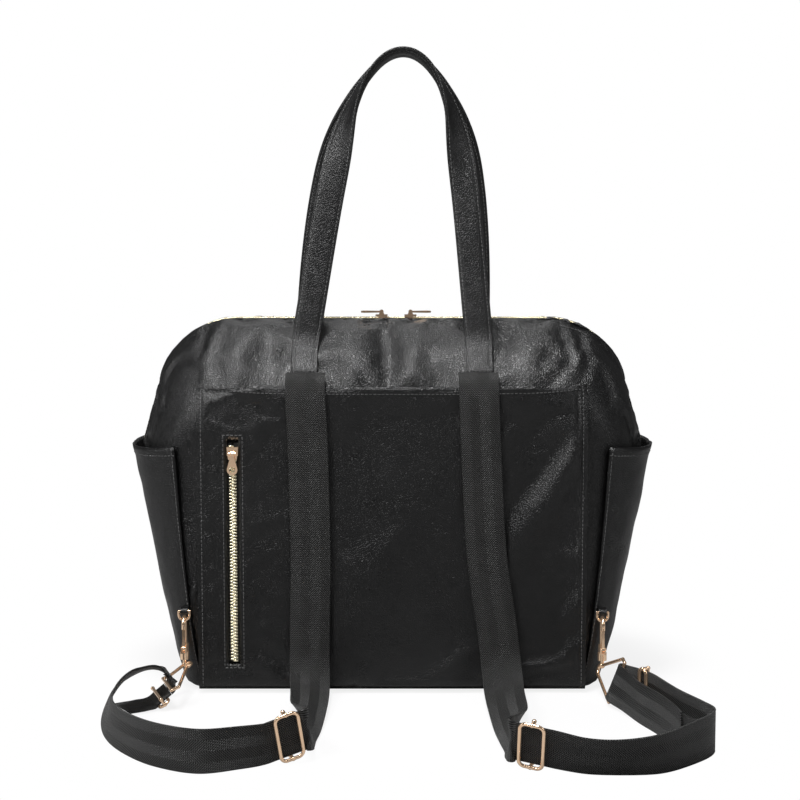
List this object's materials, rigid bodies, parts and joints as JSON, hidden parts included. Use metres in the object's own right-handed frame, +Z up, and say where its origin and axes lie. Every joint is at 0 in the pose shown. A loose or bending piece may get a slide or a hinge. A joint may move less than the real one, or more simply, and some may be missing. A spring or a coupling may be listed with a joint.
{
  "type": "diaper bag",
  "caption": "Domed black leather diaper tote with two handles, zip pockets, side bottle pockets and clip-on webbing backpack straps.",
  "frame": {"origin": "centre of the flat base, on the floor", "axes": "+Z up, -Y towards the back face that carries the backpack straps, +X to the right when that face is viewed"},
  "size_m": [0.4538, 0.3951, 0.5152],
  "materials": {
    "leather": "fine grained soft faux leather",
    "webbing": "black twill webbing",
    "zip_tape": "black woven tape",
    "lining": "grey woven lining",
    "zip_teeth": "pale gold",
    "gold_metal": "polished rose gold",
    "board": "matt"
  },
  "bodies": {
    "bag": {"back_panel": "leather", "front_panel": "leather", "side_gussets": "leather", "base_panel": "leather", "base_board": "board", "lining": "lining", "inner_pockets": "lining", "top_zip_tape": "zip_tape", "top_zip_chain": "zip_teeth", "back_pocket_panel": "leather", "back_pocket_divider": "leather", "back_zip_tape": "zip_tape", "back_zip_chain": "zip_teeth", "back_zip_pouch": "lining", "front_pocket_panel": "leather", "front_zip_tape": "zip_tape", "front_zip_chain": "zip_teeth", "front_zip_pouch": "lining", "side_pocket_left": "leather", "side_pocket_right": "leather", "handle_tabs_back": "leather", "handle_tabs_front": "leather", "ring_tab_left": "leather", "ring_tab_right": "leather"},
    "top_slider_left": {"top_slider_left": "gold_metal"},
    "top_slider_right": {"top_slider_right": "gold_metal"},
    "top_pull_left": {"top_pull_left": "gold_metal"},
    "top_pull_right": {"top_pull_right": "gold_metal"},
    "back_zip_slider": {"back_zip_slider": "gold_metal"},
    "back_zip_pull": {"back_zip_pull": "gold_metal"},
    "front_zip_slider": {"front_zip_slider": "gold_metal"},
    "front_zip_pull": {"front_zip_pull": "gold_metal"},
    "handle_back": {"handle_back": "leather"},
    "handle_front": {"handle_front": "leather"},
    "strap_left": {"webbing_left": "webbing", "keeper_left": "gold_metal", "hook_eye_left": "gold_metal"},
    "adjuster_left": {"adjuster_left": "gold_metal"},
    "hook_left": {"hook_body_left": "gold_metal", "gate_pin_left": "gold_metal"},
    "gate_left": {"hook_gate_left": "gold_metal"},
    "ring_left": {"ring_left": "gold_metal"},
    "strap_right": {"webbing_right": "webbing", "keeper_right": "gold_metal", "hook_eye_right": "gold_metal"},
    "adjuster_right": {"adjuster_right": "gold_metal"},
    "hook_right": {"hook_body_right": "gold_metal", "gate_pin_right": "gold_metal"},
    "gate_right": {"hook_gate_right": "gold_metal"},
    "ring_right": {"ring_right": "gold_metal"}
  },
  "joints": [
    {"name": "top_zip_left_slide", "type": "slide", "parent": "bag", "child": "top_slider_left", "axis": [-1, 0, 0], "range_m": [0, 0.105]},
    {"name": "top_zip_right_slide", "type": "slide", "parent": "bag", "child": "top_slider_right", "axis": [1, 0, 0], "range_m": [0, 0.098]},
    {"name": "top_pull_left_flip", "type": "hinge", "parent": "top_slider_left", "child": "top_pull_left", "pos_m": [-0.009, 0, 0.30295], "axis": [0, 1, 0], "range_deg": [0, 165]},
    {"name": "top_pull_right_flip", "type": "hinge", "parent": "top_slider_right", "child": "top_pull_right", "pos_m": [0.015, 0, 0.30295], "axis": [0, -1, 0], "range_deg": [0, 165]},
    {"name": "back_zip_slide", "type": "slide", "parent": "bag", "child": "back_zip_slider", "axis": [0, 0, -1], "range_m": [0, 0.16]},
    {"name": "back_zip_pull_flip", "type": "hinge", "parent": "back_zip_slider", "child": "back_zip_pull", "pos_m": [-0.127, -0.0816, 0.195], "axis": [-1, 0, 0], "range_deg": [0, 165]},
    {"name": "front_zip_slide", "type": "slide", "parent": "bag", "child": "front_zip_slider", "axis": [-1, 0, 0], "range_m": [0, 0.158]},
    {"name": "front_zip_pull_flip", "type": "hinge", "parent": "front_zip_slider", "child": "front_zip_pull", "pos_m": [0.079, 0.0816, 0.205], "axis": [0, 0, 1], "range_deg": [0, 165]},
    {"name": "handle_back_swing", "type": "hinge", "parent": "bag", "child": "handle_back", "pos_m": [0, -0.039, 0.279], "axis": [1, 0, 0], "range_deg": [0, 90]},
    {"name": "handle_front_swing", "type": "hinge", "parent": "bag", "child": "handle_front", "pos_m": [0, 0.039, 0.279], "axis": [-1, 0, 0], "range_deg": [0, 90]},
    {"name": "strap_left_swing", "type": "hinge", "parent": "bag", "child": "strap_left", "pos_m": [-0.069, -0.07, 0.252], "axis": [-1, 0, 0], "range_deg": [0, 45]},
    {"name": "adjuster_left_slide", "type": "slide", "parent": "strap_left", "child": "adjuster_left", "axis": [-0.8919, -0.3908, -0.2275], "range_m": [-0.001, 0.004]},
    {"name": "hook_left_swivel", "type": "hinge", "parent": "strap_left", "child": "hook_left", "pos_m": [-0.167, -0.078, 0.028], "axis": [0, 0, 1], "range_deg": [-22, 22]},
    {"name": "hook_gate_left_open", "type": "hinge", "parent": "hook_left", "child": "gate_left", "pos_m": [-0.167, -0.084, 0.038], "axis": [-1, 0, 0], "range_deg": [0, 15]},
    {"name": "ring_left_swing", "type": "hinge", "parent": "bag", "child": "ring_left", "pos_m": [-0.167, -0.078, 0.0671], "axis": [1, 0, 0], "range_deg": [-5, 5]},
    {"name": "strap_right_swing", "type": "hinge", "parent": "bag", "child": "strap_right", "pos_m": [0.069, -0.07, 0.252], "axis": [-1, 0, 0], "range_deg": [0, 45]},
    {"name": "adjuster_right_slide", "type": "slide", "parent": "strap_right", "child": "adjuster_right", "axis": [0.9391, -0.3197, -0.1259], "range_m": [-0.001, 0.004]},
    {"name": "hook_right_swivel", "type": "hinge", "parent": "strap_right", "child": "hook_right", "pos_m": [0.169, -0.078, 0.027], "axis": [0, 0, 1], "range_deg": [-22, 22]},
    {"name": "hook_gate_right_open", "type": "hinge", "parent": "hook_right", "child": "gate_right", "pos_m": [0.169, -0.084, 0.037], "axis": [-1, 0, 0], "range_deg": [0, 15]},
    {"name": "ring_right_swing", "type": "hinge", "parent": "bag", "child": "ring_right", "pos_m": [0.169, -0.078, 0.0661], "axis": [1, 0, 0], "range_deg": [-5, 5]}
  ]
}
